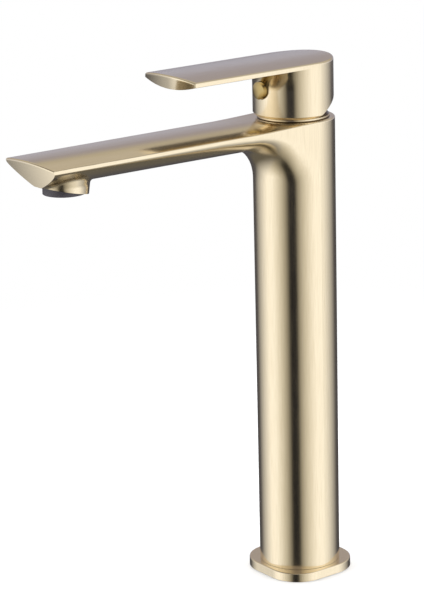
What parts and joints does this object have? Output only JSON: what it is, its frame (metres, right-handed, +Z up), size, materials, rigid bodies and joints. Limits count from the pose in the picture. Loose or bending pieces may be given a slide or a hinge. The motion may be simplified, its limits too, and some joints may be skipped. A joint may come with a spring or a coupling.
{
  "type": "basin mixer faucet",
  "caption": "Tall single-lever basin mixer: round column on a square plate, flat level spout with aerator, paddle lever on a ceramic disc cartridge.",
  "frame": {"origin": "column axis at the underside of the base plate, where the mixer stands on the deck", "axes": "+Z up along the column, spout and lever point to -Y, +X to the right of someone looking along +Y at the spout"},
  "size_m": [0.051, 0.1962, 0.292],
  "materials": {
    "gold": "satin brushed champagne gold",
    "brass": "machined brass",
    "rubber": "black rubber",
    "dark_plastic": "dark moulded plastic",
    "grey_plastic": "light grey moulded plastic",
    "ceramic": "lapped alumina",
    "steel": "stainless steel"
  },
  "bodies": {
    "mixer_body": {"body_casting": "gold", "column_tube": "gold", "inlet_block": "brass", "base_plate": "gold", "base_gasket": "rubber", "foot_insert": "brass", "aerator_housing": "dark_plastic", "aerator_washer": "rubber", "aerator_insert": "dark_plastic", "aerator_screen": "steel", "cartridge_base": "grey_plastic", "port_seals": "rubber", "fixed_disc": "ceramic", "cartridge_shell": "grey_plastic", "retaining_nut": "brass", "collar_ring": "gold"},
    "swivel": {"swivel_rotor": "grey_plastic", "pivot_pin": "steel"},
    "lever": {"lever_handle": "gold", "lever_stem": "brass", "set_screw": "steel", "index_button": "gold"},
    "valve_disc": {"moving_disc": "ceramic", "disc_carrier": "grey_plastic"}
  },
  "joints": [
    {"name": "lever_swivel", "type": "hinge", "parent": "mixer_body", "child": "swivel", "pos_m": [0, 0, 0.26], "axis": [0, 0, 1], "range_deg": [-50, 50]},
    {"name": "lever_lift", "type": "hinge", "parent": "swivel", "child": "lever", "pos_m": [0, 0, 0.26], "axis": [-1, 0, 0], "range_deg": [0, 22]},
    {"name": "disc_slide", "type": "slide", "parent": "swivel", "child": "valve_disc", "axis": [0, -1, 0], "range_m": [0, 0.0053]}
  ],
  "couplings": [
    {"joint": "disc_slide", "follows": "lever_lift", "m_per_rad": 0.01366}
  ]
}
